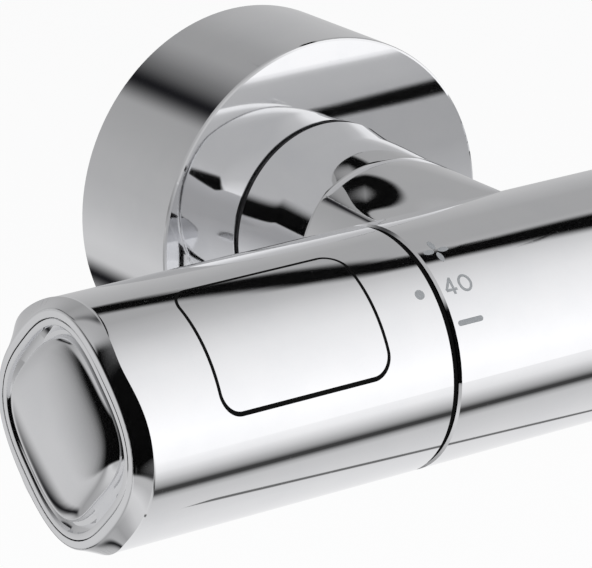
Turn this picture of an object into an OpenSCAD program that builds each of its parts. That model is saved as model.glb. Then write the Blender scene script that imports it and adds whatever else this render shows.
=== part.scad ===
// Exposed thermostatic shower valve: a round bar body on two wall unions,
// with a temperature handle at its left end and a flow handle at its right.
// Millimetres. X runs along the bar to the right, Y into the wall, Z up.
// The origin lies on the wall plane, midway between the two union axes.

/* [Layout] */
// Distance between the two union axes
inlet_spacing = 150; // [138:1:170]
// Distance of the bar's axis in front of the wall
axis_out = 69.3; // [68:0.1:74]
// Drop of the bar's axis below the union axes
axis_drop = 8.1; // [5:0.1:9]
// Distance from a union axis to the gap in front of the handle
neck_inset = 17.6; // [17:0.1:24]
// Distance from the right-hand handle gap in to the outlet's axis
outlet_inset = 42.4; // [41:0.2:42.8]

/* [Bar] */
// Diameter of the bar and of both handles
bar_d = 44; // [43:0.5:48]
// Wall of the casting round the cold water gallery
bar_wall = 3; // [2.5:0.1:3.4]
// Width of the gap between the body and a handle
gap_w = 1; // [0.8:0.1:1.4]
// Chamfer on the edges that face the gap
edge_c = 0.4; // [0.2:0.1:0.8]
// Diameter of the neck that carries a union
neck_d = 37.8; // [37.4:0.1:38.4]
// Radius of the domed top of a neck, about the height of the bar's axis
crown_r = 25.3; // [24.8:0.1:26]
// Length over which the top of a neck falls to the bar
crown_fall = 15.7; // [15:0.1:17]

/* [Handles] */
// Length of a handle from the gap to its rim
handle_l = 65.7; // [64:0.1:80]
// Wall of a handle sleeve
sleeve_t = 2; // [1.6:0.1:2.4]
// Thickness of the end wall of a handle sleeve
end_wall = 5.7; // [5:0.1:7]
// Half size of the squared rim, across its flats
rim_half = 18.9; // [18.6:0.1:20]
// Squareness of the rim, where 2 is a circle
rim_power = 2.82; // [2.2:0.02:3.2]
// Width of the rim round the end cap
rim_w = 1.25; // [1:0.05:1.6]
// Width of the chamfer between the round sleeve and the squared rim
chamfer_w = 3.5; // [3.4:0.1:4.5]
// Gap round the end cap
cap_gap = 0.15; // [0.1:0.05:0.3]
// Thickness of the end cap behind its rim
cap_t = 4.4; // [4:0.1:5]
// Rise of the pillow of the end cap above the rim
pillow_h = 2.2; // [1:0.1:4]
// Depth of the moat between the rim and the pillow
moat_d = 1.2; // [0.6:0.1:1.8]
// Angle up from the front at which the button and the dial mark sit
dial_angle = 45; // [30:1:60]
// Half width, in degrees, of a handle's stop finger
finger_half = 6; // [4:1:8]
// Turn of the temperature handle from the 40 mark to cold, in degrees
turn_to_cold = 180; // [120:5:200]
// Turn of the temperature handle from the 40 mark to hot, in degrees
turn_to_hot = 60; // [30:5:70]
// Turn of the flow handle from shut to full flow, in degrees
turn_to_open = 180; // [90:5:200]

/* [Buttons] */
// Distance from the gap to the button
button_start = 13.8; // [13.6:0.1:16]
// Length of a button along the handle
button_l = 33.8; // [30:0.1:36]
// Width of a button across the handle
button_w = 23.1; // [20:0.1:25]
// Corner radius of a button
button_r = 3.4; // [2:0.1:5]
// Gap round a button
button_gap = 0.3; // [0.2:0.05:0.5]
// Thickness of a button plate
button_t = 2.4; // [2.2:0.1:2.6]
// Travel of a button when it is pressed
button_travel = 1.5; // [1:0.1:1.8]

/* [Unions] */
// Diameter of an escutcheon
escutcheon_d = 70; // [66:1:80]
// Depth of an escutcheon from its face to the wall
escutcheon_h = 27.2; // [27:0.1:30]
// Wall of an escutcheon
escutcheon_t = 1.6; // [1.2:0.1:2]
// Thickness of the seal ring between escutcheon and nut cover
ring_t = 1.4; // [1:0.1:2]
// Length of a nut cover
cover_l = 18; // [18:0.1:19]
// Diameter of a nut cover
cover_d = 37.3; // [37:0.1:37.4]
// Wall of a nut cover
cover_t = 1; // [0.8:0.05:1.1]
// Flare of the nut cover at the escutcheon
flare = 0.8; // [0.4:0.1:1.2]
// Size of a union nut across its flats
nut_af = 30; // [29:0.5:30]
// Outer diameter of the three-quarter inch thread at the valve
union_d = 26.44; // [26:0.01:26.5]
// Outer diameter of the half inch thread, at the wall and the outlet
half_inch_d = 20.955; // [20.5:0.005:21]
// Rise of the wall thread above the union axis
union_offset = 8; // [5:0.5:9]
// Reach of the wall thread into the wall
thread_in = 14; // [10:1:20]

/* [Check valves] */
// Outer diameter of a check valve cartridge
check_d = 15; // [14:0.1:15.2]
// Opening travel of a check valve poppet
check_travel = 2.5; // [1.5:0.1:2.8]

/* [Thermostat] */
// Depth of the cartridge pocket from the gap
thermo_depth = 56.5; // [56:0.1:60]
// Diameter of the cartridge pocket
pocket_d = 32; // [31.4:0.1:33]
// Diameter of the thread that holds the cartridge
bonnet_d = 36; // [35:0.1:36.4]
// Outer diameter of the regulating slide
slide_d = 21.9; // [21:0.1:22.4]
// Diameter of the wax element
wax_d = 8; // [7:0.1:9]
// Advance of the regulating slide per turn of the handle
slide_lead = 2; // [1:0.1:2]

/* [Flow control] */
// Depth of the flow control pocket from the gap
head_depth = 50; // [49.8:0.1:50.6]
// Diameter of the flow control pocket
head_d = 25; // [24.6:0.1:25.4]
// Diameter of the ceramic discs
disc_d = 19.6; // [18:0.1:19.6]
// Thickness of a ceramic disc
disc_t = 3; // [2.6:0.1:3.2]

/* [Fits] */
// Running clearance on the radius, for shafts and slides
run_fit = 0.06; // [0.02:0.01:0.09]
// Clearance on the radius between fixed pieces
seat_fit = 0.1; // [0.06:0.01:0.2]
// Small gap between faces that meet end to end
face_gap = 0.1; // [0.05:0.01:0.15]

/* [Hidden] */

// Smoothness of the round surfaces and of the shaped handle ends
$fn = 96;
rim_steps = 96;

// Bar and necks
bar_r = bar_d / 2;
half_l = inlet_spacing / 2 + neck_inset;
neck_r = neck_d / 2;
body_end = -gap_w / 2;
body_far = -2 * half_l + gap_w / 2;
gallery_r = bar_r - bar_wall;
gallery_wall = 2.5;
handle_clear = 0.6;
web_t = 3;
mixed_r = 7;
mixed_wall_r = mixed_r + 3;

// Places along a union axis, with the wall at 0
face_y = -escutcheon_h;
ring_front = face_y - face_gap / 2 - ring_t;
cover_back = ring_front - face_gap / 2;
cover_front = cover_back - cover_l;
neck_end = cover_front - face_gap;
cover_r = cover_d / 2;
crown_foot = sqrt(pow(bar_r, 2) - pow(axis_out + neck_end - crown_fall, 2)) - axis_drop;
lip_t = 1;
nut_front = cover_front + lip_t + face_gap;
nut_back = cover_back - 2.4;
nut_shoulder = 2.3;
flange_front = nut_front + nut_shoulder + face_gap;
flange_back = flange_front + 3.1;
washer_t = 2;
union_front = flange_back + washer_t;
nipple_neck_r = 11;
nipple_flange_r = 13;
nipple_thread_r = 10.5;
nipple_end = neck_end - 5.5;
union_r = union_d / 2;
half_inch_r = half_inch_d / 2;
union_body_r = 14.5;
union_body_back = -13;
union_cheek_front = -20;
union_cheek_r = half_inch_r + 3;
union_bore_r = 9;
wall_bore_r = 7.5;
hot_passage_end = -axis_out + 8;
cold_passage_end = -axis_out + gallery_r - 3.6;
passage_r = 7;

// Check valve
check_r = check_d / 2;
check_wall = 1.3;
check_front = nipple_end + 1.2;
check_back = flange_back - 0.2;
check_seat_t = 1.2;
poppet_r = check_r - 1.9;
poppet_t = 1.6;
poppet_back = check_back - check_seat_t - face_gap;
poppet_front = poppet_back - poppet_t;
stem_r = 1.4;
spider_t = 1.6;
stem_end = check_front + 1.1;

// Handle ends
rim_in = rim_half - rim_w;
ledge_w = 1.4;
cap_back = handle_l - cap_t;
hollow_end = handle_l - end_wall;
sleeve_in = bar_r - sleeve_t;
sleeve_start = gap_w / 2;

// Buttons
button_mid = button_start + button_l / 2;
lip_w = 1.2;
lip_out = sleeve_in - 0.3;
lip_in = lip_out - 1.3;
pawl_start = 6.2;
pawl_low = 16.6;
button_stem_low = 14.3;
guide_r = 1.8;
guide_low = 11.5;
button_spring_r = 2.6;
button_wire = 0.3;
socket_r = button_spring_r + button_wire + 0.3;
socket_floor = 9;
socket_top = 12.5;

// Stops and carrier
collar_r = 13.5;
collar_end = 6;
stop_ring_r = 16;
stop_lug_r = 17.9;
stop_slack = 1;
finger_angle = dial_angle + 180;
carrier_web = [9, 12];
hub_r = 8.5;
hub_end = 34;
spindle_r = 6;
key_r = 5.2;
key_sides = 12;
key_start = 14;
key_end = 25;
screw_r = 2.5;
screw_head_r = 4.2;

// Thermostatic cartridge, with the gap at 0 and depth below it
pocket_r = pocket_d / 2;
bonnet_r = bonnet_d / 2;
bonnet_depth = 8.5;
flange_top = 5;
spindle_flange_r = 9.2;
housing_r = pocket_r - 0.15;
housing_low = thermo_depth - 1.5;
hot_port = neck_inset;
cold_port = 42;
gallery_depth = 31;
port_r = 2.6;
slide_r = slide_d / 2;
slide_bore_r = slide_r + run_fit;
slide_near = 24;
slide_far = 35;
slide_web = [28, 30];
thermo_ring_places = [-hot_port + 7.2, -hot_port - 9.2];
return_spring_r = slide_r - 4.35;
return_wire = 0.7;
wax_r = wax_d / 2;
wax_near = 22;
wax_far = 40;
piston_r = 1.5;
pusher_r = 3.42;
pusher_far = 16;
nose_r = mixed_r + 1.5;
nose_end = thermo_depth + 4.5;
spring_floor = housing_low - 4;

// Flow control, with the gap at 0 and depth below it
head_r = head_d / 2;
head_body_r = head_r - seat_fit;
head_low = head_depth - 2;
disc_r = disc_d / 2;
chamber_r = disc_r + 0.2;
seal_face = head_low - 1.5;
driver_t = 3.3;
driver_far = seal_face - 2 * disc_t - face_gap;
driver_near = driver_far - driver_t;
window_depth = driver_near + driver_t / 2;
head_ring_depth = driver_near - 9.1;

// Outlet
outlet_x = half_l - outlet_inset;
outlet_r = 7;
boss_r = 13;
boss_low = bar_r + 5;
outlet_thread_r = 9.5;
outlet_socket = 6.5;
outlet_len = 9;

// Groove for a seal of round section, and the seal itself
cord_r = 0.85;
groove_w = 2 * cord_r + 0.3;

chrome = [0.86, 0.87, 0.88];
brass = [0.78, 0.63, 0.30];
black = [0.10, 0.10, 0.10];
plastic = [0.90, 0.90, 0.88];
steel = [0.70, 0.71, 0.73];
ceramic = [0.95, 0.94, 0.90];

// Frame of the left end: local Z runs out along the bar from the handle gap,
// local X points to the front and local Y up.
module left_end() {
    translate([-half_l, -axis_out, -axis_drop])
        rotate([0, -90, 0])
            rotate([0, 0, -90])
                children();
}

module right_end() {
    mirror([1, 0, 0])
        left_end()
            children();
}

// Frame of a union: local Z runs into the wall. side is -1 for hot, 1 for cold.
module union_axis(side) {
    translate([side * inlet_spacing / 2, 0, 0])
        rotate([-90, 0, 0])
            children();
}

// Solid of revolution from points of [radius, height]
module spin(points) {
    rotate_extrude()
        polygon(points);
}

module tube(r_in, r_out, low, high) {
    spin([[r_in, low], [r_out, low], [r_out, high], [r_in, high]]);
}

module rod(r, low, high) {
    translate([0, 0, low])
        cylinder(r = r, h = high - low);
}

module prism(r, low, high, sides) {
    translate([0, 0, low])
        cylinder(r = r, h = high - low, $fn = sides);
}

module seal_ring(mid_r, at, cord) {
    translate([0, 0, at])
        rotate_extrude()
            translate([mid_r, 0])
                circle(r = cord, $fn = 32);
}

// Holes through a wall, side by side round the axis
module radial_holes(count, hole_r, at, reach, turn = 0) {
    for (k = [0 : count - 1])
        rotate([0, 0, turn + 360 * k / count])
            translate([0, 0, at])
                rotate([0, 90, 0])
                    cylinder(r = hole_r, h = reach, $fn = 32);
}

module axial_holes(count, hole_r, pitch_r, low, high) {
    for (k = [0 : count - 1])
        rotate([0, 0, 360 * k / count])
            translate([pitch_r, 0, low])
                cylinder(r = hole_r, h = high - low, $fn = 32);
}

// Sector of a ring between two angles
module sector(r_in, r_out, low, high, mid, half_angle) {
    steps = 12;
    far = 2 * r_out;
    rays = [for (k = [0 : steps]) mid - half_angle + 2 * half_angle * k / steps];
    wedge = concat([[0, 0]], [for (a = rays) [far * cos(a), far * sin(a)]]);
    intersection() {
        tube(r_in, r_out, low, high);
        translate([0, 0, low - 1])
            linear_extrude(height = high - low + 2)
                polygon(wedge);
    }
}

// One unbroken wound wire between two heights
module coil(mid_r, wire_r, low, high, turns) {
    steps = 8;
    sides = 6;
    rings = turns * steps;
    rise = high - low - 2 * wire_r;
    points = [
        for (i = [0 : rings], k = [0 : sides - 1])
            let (a = 360 * i / steps, b = 360 * k / sides, r = mid_r + wire_r * cos(b))
                [r * cos(a), r * sin(a), low + wire_r + rise * i / rings + wire_r * sin(b)]
    ];
    polyhedron(points, concat(
        [[for (k = [sides - 1 : -1 : 0]) k]],
        band_faces(rings, sides, false),
        [[for (k = [0 : sides - 1]) rings * sides + k]]
    ));
}

// Triangles that join each ring of points to the next one
function band_faces(bands, sides, closed) = [
    for (i = [0 : bands - 1], k = [0 : sides - 1], half = [0, 1])
        let (
            next = closed && i == bands - 1 ? 0 : i + 1,
            up = (k + 1) % sides,
            a = i * sides + k,
            b = i * sides + up,
            c = next * sides + up,
            d = next * sides + k
        )
            half == 0 ? [a, b, c] : [a, c, d]
];

// Radius of a rounded square, flats towards the dial angle, in direction a
function rim_r(a, half_size) =
    half_size / pow(
        pow(abs(cos(a - dial_angle)), rim_power) + pow(abs(sin(a - dial_angle)), rim_power),
        1 / rim_power
    );

function rim_outline(half_size) = [
    for (k = [0 : rim_steps - 1])
        let (a = 360 * k / rim_steps)
            rim_r(a, half_size) * [cos(a), sin(a)]
];

// Body

module bar_solid() {
    left_end()
        spin([
            [0, body_far], [bar_r - edge_c, body_far], [bar_r, body_far + edge_c],
            [bar_r, body_end - edge_c], [bar_r - edge_c, body_end], [0, body_end]
        ]);
}

// Height of a neck's top, x across it, with fall 0 where the union starts and 1 at the bar
function crown_z(x, fall) =
    (1 - fall) * (sqrt(pow(crown_r, 2) - x * x) - axis_drop) + fall * crown_foot;

// Block under the top of a neck, which flattens as it falls towards the bar
module crown_block() {
    rows = 9;
    columns = 20;
    half_w = neck_r + 1;
    low = -2 * neck_r;
    falls = [for (i = [0 : rows]) -0.1 + 1.25 * i / rows];
    places = concat(
        [for (fall = falls) [neck_end - crown_fall * fall, fall]],
        [[-axis_out - 1, falls[rows]]]
    );
    sides = columns + 3;
    points = [
        for (place = places, k = [0 : sides - 1])
            let (x = half_w * (2 * min(k, columns) / columns - 1))
                k <= columns
                    ? [x, place[0], crown_z(x, place[1])]
                    : [k == columns + 1 ? half_w : -half_w, place[0], low]
    ];
    polyhedron(points, concat(
        [[for (k = [sides - 1 : -1 : 0]) k]],
        band_faces(rows + 1, sides, false),
        [[for (k = [0 : sides - 1]) (rows + 1) * sides + k]]
    ));
}

module handle_space() {
    rod(bar_r + handle_clear, -gap_w / 2 - edge_c - 0.3, 10);
}

module neck(side) {
    difference() {
        intersection() {
            union_axis(side)
                rod(neck_r, -axis_out, neck_end);
            translate([side * inlet_spacing / 2, 0, 0])
                crown_block();
        }
        if (side < 0)
            left_end()
                handle_space();
        else
            right_end()
                handle_space();
    }
}

module down_from_bar(r, low, high) {
    translate([outlet_x, -axis_out, -axis_drop - low])
        cylinder(r = r, h = low - high);
}

module cold_gallery() {
    web = -(thermo_depth + web_t);
    far = body_far + edge_c + 5;
    step = -2 * half_l + head_depth + gallery_wall;
    left_end()
        spin([
            [mixed_wall_r, web], [gallery_r, web], [gallery_r, far],
            [head_r + gallery_wall, far], [head_r + gallery_wall, step], [mixed_wall_r, step]
        ]);
}

module thermo_pocket() {
    left_end() {
        rod(bonnet_r, -bonnet_depth, 1);
        rod(pocket_r, -thermo_depth, 0);
        rod(nose_r + seat_fit, -nose_end - 1, 0);
        rod(mixed_r, -2 * half_l + head_depth - 1, 0);
        axial_holes(6, 1.3, (mixed_wall_r + pocket_r) / 2, -thermo_depth - web_t - 1, 0);
    }
}

module neck_bore(side, passage_end) {
    union_axis(side) {
        rod(nipple_thread_r + seat_fit / 2, nipple_end - face_gap, 0);
        rod(passage_r, passage_end, 0);
    }
}

module body() {
    color(chrome)
        difference() {
            union() {
                difference() {
                    union() {
                        bar_solid();
                        neck(-1);
                        neck(1);
                        down_from_bar(boss_r, boss_low, 0);
                    }
                    cold_gallery();
                }
                down_from_bar(outlet_r + gallery_wall, gallery_r + 1, 0);
            }
            thermo_pocket();
            right_end()
                rod(head_r, -head_depth, 1);
            neck_bore(-1, hot_passage_end);
            neck_bore(1, cold_passage_end);
            down_from_bar(outlet_r, boss_low + 1, 0);
            down_from_bar(outlet_thread_r + seat_fit / 2, boss_low + 1, boss_low - outlet_socket);
        }
}

module outlet_nipple() {
    flange_t = 2;
    top = -boss_low;
    color(chrome)
        translate([outlet_x, -axis_out, -axis_drop])
            spin([
                [outlet_r - 0.8, top + outlet_socket - face_gap],
                [outlet_thread_r, top + outlet_socket - face_gap],
                [outlet_thread_r, top - face_gap / 2],
                [boss_r - 0.4, top - face_gap / 2],
                [boss_r - 0.4, top - flange_t],
                [half_inch_r, top - flange_t],
                [half_inch_r, top - flange_t - outlet_len],
                [outlet_r - 0.8, top - flange_t - outlet_len]
            ]);
}

// Unions

module union_nipple(side) {
    color(brass)
        union_axis(side)
            spin([
                [check_r - 0.7, nipple_end], [nipple_thread_r, nipple_end],
                [nipple_thread_r, neck_end + 0.6], [nipple_neck_r, neck_end + 0.6],
                [nipple_neck_r, flange_front], [nipple_flange_r, flange_front],
                [nipple_flange_r, flange_back], [check_r + 0.1, flange_back],
                [check_r + 0.1, nipple_end + 1.1], [check_r - 0.7, nipple_end + 1.1]
            ]);
}

module union_nut(side) {
    shoulder = nut_front + nut_shoulder;
    color(brass)
        union_axis(side)
            difference() {
                prism(nut_af / 2 / cos(30), nut_front, nut_back, 6);
                rod(nipple_neck_r + seat_fit, nut_front - 1, nut_back + 1);
                rod(union_r + seat_fit, shoulder, nut_back + 1);
            }
}

module nut_cover(side) {
    taper = 8;
    bore = cover_r - cover_t;
    color(chrome)
        union_axis(side)
            spin([
                [nipple_neck_r + 5, cover_front], [cover_r - 0.3, cover_front],
                [cover_r, cover_front + 0.3], [cover_r, cover_back - taper],
                [cover_r + flare, cover_back], [bore, cover_back],
                [bore, cover_front + lip_t], [nipple_neck_r + 5, cover_front + lip_t]
            ]);
}

module filter_washer(side) {
    color(black)
        union_axis(side)
            difference() {
                rod(nipple_flange_r, flange_back, union_front);
                difference() {
                    rod(union_bore_r, flange_back - 1, union_front + 1);
                    filter_mesh();
                }
            }
}

// Round plate of the washer, pierced in rings like a strainer
module filter_mesh() {
    mid = (flange_back + union_front) / 2;
    difference() {
        rod(union_bore_r + 0.5, mid - 0.3, mid + 0.3);
        axial_holes(1, 0.9, 0, mid - 1, mid + 1);
        axial_holes(6, 0.9, 2.9, mid - 1, mid + 1);
        axial_holes(12, 0.9, 5.9, mid - 1, mid + 1);
    }
}

module s_union(side) {
    color(brass)
        union_axis(side)
            difference() {
                union() {
                    rod(union_r, union_front + face_gap / 2, face_y);
                    rod(union_body_r, face_y, union_body_back);
                    translate([0, -union_offset, 0]) {
                        rod(union_cheek_r, union_cheek_front, union_body_back);
                        rod(half_inch_r, union_body_back, thread_in);
                    }
                }
                rod(union_bore_r, union_front - 1, union_cheek_front + 3);
                translate([0, -union_offset, 0])
                    rod(wall_bore_r, union_cheek_front + 1.5, thread_in + 1);
            }
}

module escutcheon(side) {
    out_r = escutcheon_d / 2;
    in_r = out_r - escutcheon_t;
    hole_r = union_body_r + 2 * seat_fit;
    collar_back = union_cheek_front - 0.5;
    round = 0.5;
    color(chrome)
        union_axis(side)
            spin([
                [hole_r, face_y], [out_r - round, face_y], [out_r - 0.3 * round, face_y + 0.3 * round],
                [out_r, face_y + round], [out_r, 0], [in_r, 0], [in_r, face_y + escutcheon_t],
                [hole_r + 1.5, face_y + escutcheon_t], [hole_r + 1.5, collar_back], [hole_r, collar_back]
            ]);
}

module face_ring(side) {
    color(black)
        union_axis(side)
            tube(union_body_r + 0.3, cover_r + flare - 0.5, ring_front, ring_front + ring_t);
}

module wall_seal(side) {
    in_r = escutcheon_d / 2 - escutcheon_t;
    color(black)
        union_axis(side)
            tube(in_r - 2.4, in_r - 0.2, -3, 0);
}

module check_housing(side) {
    bore = check_r - check_wall;
    color(plastic)
        union_axis(side)
            difference() {
                spin([
                    [0, check_front], [check_r, check_front], [check_r, check_back],
                    [poppet_r - 1, check_back], [poppet_r - 1, check_back - check_seat_t],
                    [bore, check_back - check_seat_t], [bore, check_front + spider_t],
                    [0, check_front + spider_t]
                ]);
                rod(stem_r + run_fit, check_front - 1, check_back);
                axial_holes(
                    4, 1.35, (stem_r + bore) / 2 + 0.3,
                    check_front - 1, check_front + spider_t + 0.1
                );
            }
}

module check_poppet(side) {
    color(plastic)
        union_axis(side)
            spin([
                [0, stem_end], [stem_r, stem_end], [stem_r, poppet_front],
                [poppet_r, poppet_front], [poppet_r, poppet_back - 0.5],
                [poppet_r - 0.6, poppet_back], [0, poppet_back]
            ]);
}

module check_spring(side) {
    color(steel)
        union_axis(side)
            coil(3.4, 0.3, check_front + spider_t + 0.1, poppet_front - 0.1, 5);
}

// Handle pieces, drawn in the frame of an end

// Cuts the chamfer that runs from the round sleeve to the squared rim.
// Its slanted width is the same all round, so its outer edge waves.
module chamfer_cutter() {
    reach = 1.6;
    outer = bar_r + 6;
    profiles = [
        for (k = [0 : rim_steps - 1])
            let (
                a = 360 * k / rim_steps,
                r = rim_r(a, rim_half),
                fall = sqrt(chamfer_w * chamfer_w - (bar_r - r) * (bar_r - r)),
                slope = fall / (bar_r - r),
                edge_r = r + reach * (bar_r - r)
            )
                [
                    [r - 0.2, handle_l + 0.2 * slope],
                    [edge_r, handle_l - reach * fall],
                    [outer, handle_l - reach * fall],
                    [outer, handle_l + 5],
                    [r - 0.2, handle_l + 5]
                ]
    ];
    points = [
        for (k = [0 : rim_steps - 1], p = profiles[k])
            let (a = 360 * k / rim_steps)
                [p[0] * cos(a), p[0] * sin(a), p[1]]
    ];
    polyhedron(points, band_faces(rim_steps, 5, true));
}

module button_outline(grow) {
    l = button_l + 2 * grow;
    w = button_w + 2 * grow;
    r = button_r + grow;
    union() {
        square([l - 2 * r, w], center = true);
        square([l, w - 2 * r], center = true);
        for (x = [-1, 1], y = [-1, 1])
            translate([x * (l / 2 - r), y * (w / 2 - r)])
                circle(r = r, $fn = 48);
    }
}

// Frame of a button: local Z runs outward along the dial angle from the bar's
// axis, local X runs towards the gap and local Y round the bar.
module button_frame() {
    rotate([0, 0, dial_angle])
        translate([0, 0, button_mid])
            rotate([0, 90, 0])
                children();
}

module handle_sleeve() {
    hole = rim_in - ledge_w;
    color(chrome)
        difference() {
            spin([
                [sleeve_in, sleeve_start], [bar_r - edge_c, sleeve_start],
                [bar_r, sleeve_start + edge_c], [bar_r, handle_l], [0, handle_l],
                [0, hollow_end], [sleeve_in, hollow_end]
            ]);
            chamfer_cutter();
            translate([0, 0, cap_back])
                linear_extrude(height = cap_t + 1)
                    polygon(rim_outline(rim_in));
            translate([0, 0, hollow_end - 1])
                linear_extrude(height = end_wall)
                    polygon(rim_outline(hole));
            button_frame()
                translate([0, 0, bar_r / 2])
                    linear_extrude(height = bar_r)
                        button_outline(button_gap);
        }
}

// Height of the cap above its rim, at fraction q of the way out, direction a.
// A moat runs inside the rim, and the pillow arches across the dial angle.
function cap_rise(q, a) =
    let (
        across = q * cos(a - dial_angle),
        along = q * sin(a - dial_angle),
        arch = 1 - 1.05 * across * across - 0.45 * along * along,
        moat = exp(-pow((q - 0.86) / 0.07, 2))
    )
        q > 0.93 ? 0 : pillow_h * max(arch, 0) - moat_d * moat;

module handle_cap() {
    top = handle_l - 0.1;
    steps = 64;
    half_size = rim_in - cap_gap;
    fractions = [1, 0.93, 0.9, 0.86, 0.8, 0.72, 0.6, 0.45, 0.25];
    outline = [for (k = [0 : steps - 1]) let (a = 360 * k / steps) rim_r(a, half_size) * [cos(a), sin(a)]];
    rings = concat(
        [for (p = outline) [p[0], p[1], cap_back + face_gap]],
        [
            for (q = fractions, k = [0 : steps - 1])
                let (a = 360 * k / steps, p = q * outline[k])
                    [p[0], p[1], top + cap_rise(q, a)]
        ]
    );
    count = len(fractions);
    last = count * steps;
    centre = len(rings);
    color(chrome)
        polyhedron(
            concat(rings, [[0, 0, top + cap_rise(0, 0)]]),
            concat(
                [[for (k = [0 : steps - 1]) k]],
                loft_faces(count, steps),
                [for (k = [0 : steps - 1]) [last + k, centre, last + (k + 1) % steps]]
            )
        );
}

// Triangles between rings that are stacked outward, seen from outside
function loft_faces(bands, sides) = [
    for (j = [0 : bands - 1], k = [0 : sides - 1], half = [0, 1])
        let (
            up = (k + 1) % sides,
            a = j * sides + k,
            b = (j + 1) * sides + k,
            c = (j + 1) * sides + up,
            d = j * sides + up
        )
            half == 0 ? [a, b, c] : [a, c, d]
];

module handle_carrier() {
    web_r = sleeve_in - 0.2;
    notch_w = 8;
    color(black)
        difference() {
            union() {
                tube(0, web_r, carrier_web[0], carrier_web[1]);
                rod(hub_r, carrier_web[0] - 0.5, hub_end);
                sector(
                    stop_ring_r + 0.4, stop_lug_r + 0.3,
                    1.2, carrier_web[0] + 1, finger_angle, finger_half
                );
                button_frame()
                    rod(socket_r + 1.3, 5, socket_top);
            }
            rod(spindle_r + seat_fit, 0, key_start);
            prism(key_r + seat_fit, 0, key_end + 0.2, key_sides);
            rod(screw_r + seat_fit, 0, hub_end);
            rod(screw_head_r + 0.4, key_end + 3, hub_end + 1);
            button_frame()
                rod(socket_r, socket_floor, socket_top + 1);
            rotate([0, 0, dial_angle])
                translate([pawl_low - 2.2, -notch_w / 2, carrier_web[0] - 1])
                    cube([bar_r, notch_w, 5]);
        }
}

module handle_screw() {
    head = key_end + 3;
    color(steel)
        difference() {
            union() {
                rod(screw_r - 0.1, key_start, head + 0.1);
                rod(screw_head_r, head + 0.05, head + 3);
            }
            prism(1.6, head + 1.2, head + 4, 6);
        }
}

module button() {
    color(chrome)
        union() {
            intersection() {
                tube(bar_r - button_t, bar_r, 0, handle_l);
                button_frame()
                    linear_extrude(height = 2 * bar_r)
                        button_outline(0);
            }
            intersection() {
                tube(lip_in, lip_out, 0, handle_l);
                button_frame()
                    linear_extrude(height = 2 * bar_r)
                        button_outline(lip_w);
            }
            button_frame() {
                rod(button_spring_r + 0.4, button_stem_low, lip_in + 0.6);
                rod(guide_r, guide_low, button_stem_low + 1);
            }
            rotate([0, 0, dial_angle])
                translate([pawl_low, -3, pawl_start])
                    cube([lip_in + 0.4 - pawl_low, 6, button_start - pawl_start]);
        }
}

module button_spring() {
    color(steel)
        button_frame()
            coil(button_spring_r, button_wire, socket_floor + 0.1, button_stem_low - 0.1, 3.5);
}

module gap_ring() {
    color(black)
        tube(bonnet_r + 0.2, bar_r - 0.6, body_end + face_gap, body_end + 0.75 * gap_w);
}

// The lug fills the sector that the handle's stop finger never enters
module stop_ring(turn_up, turn_down) {
    free = 360 - turn_up - turn_down;
    color(plastic)
        union() {
            tube(collar_r + seat_fit, stop_ring_r, body_end + face_gap, collar_end - 0.2);
            sector(stop_ring_r - 0.5, stop_lug_r, body_end + 0.9 * gap_w, 4.6,
                finger_angle + turn_up + free / 2, free / 2 - finger_half - stop_slack);
        }
}

// Thermostatic cartridge, drawn in the frame of the left end

module thermo_bonnet() {
    color(brass)
        left_end()
            spin([
                [spindle_r + run_fit, -flange_top], [spindle_flange_r + 0.2, -flange_top],
                [spindle_flange_r + 0.2, -bonnet_depth + face_gap],
                [bonnet_r - 0.05, -bonnet_depth + face_gap],
                [bonnet_r - 0.05, body_end], [collar_r, body_end], [collar_r, collar_end],
                [spindle_r + run_fit, collar_end]
            ]);
}

module spindle_groove() {
    tube(spindle_r - 1.1, spindle_r + 1, -2, -0.6);
}

module thermo_spindle() {
    color(brass)
        left_end()
            difference() {
                union() {
                    rod(spindle_flange_r, -bonnet_depth + 0.2, -flange_top - face_gap);
                    rod(spindle_r, -flange_top - 1, key_start);
                    prism(key_r, key_start - 0.5, key_end, key_sides);
                }
                spindle_groove();
                rod(pusher_r + run_fit, -bonnet_depth, 2);
                rod(screw_r, key_start - 2, key_end + 1);
            }
}

module thermo_spindle_seal() {
    color(black)
        left_end()
            seal_ring(spindle_r - 0.5, -1.3, 0.5);
}

module thermo_housing() {
    gallery_near = hot_port - 5;
    gallery_far = hot_port + 5;
    color(plastic)
        left_end()
            difference() {
                spin([
                    [slide_bore_r, -bonnet_depth], [housing_r, -bonnet_depth], [housing_r, -gallery_near],
                    [housing_r - 2, -gallery_near], [housing_r - 2, -gallery_far],
                    [housing_r, -gallery_far], [housing_r, -gallery_depth],
                    [housing_r - 2.8, -gallery_depth], [housing_r - 2.8, -housing_low],
                    [nose_r, -housing_low], [nose_r, -nose_end], [nose_r - 3, -nose_end],
                    [nose_r - 3, -spring_floor], [slide_bore_r, -spring_floor]
                ]);
                radial_holes(6, port_r, -hot_port, bar_r);
                radial_holes(6, port_r, -cold_port, bar_r);
                for (at = thermo_ring_places)
                    tube(housing_r - 2 * cord_r, bar_r, at - groove_w / 2, at + groove_w / 2);
            }
}

module thermo_o_rings() {
    color(black)
        left_end()
            for (at = thermo_ring_places)
                seal_ring(housing_r - cord_r + 0.07, at, cord_r);
}

module thermo_pusher() {
    color(brass)
        left_end()
            rod(pusher_r, -pusher_far, 0);
}

module wax_element() {
    color(brass)
        left_end() {
            spin([
                [0, -wax_far], [wax_r - 0.6, -wax_far],
                [wax_r, -wax_far + 0.6], [wax_r, -slide_web[0] + face_gap],
                [wax_r + 1.5, -slide_web[0] + face_gap], [wax_r + 1.5, -slide_web[0] + 1.6],
                [wax_r, -slide_web[0] + 1.6], [wax_r, -wax_near], [piston_r, -wax_near],
                [piston_r, -pusher_far - 0.05], [0, -pusher_far - 0.05]
            ]);
        }
}

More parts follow.
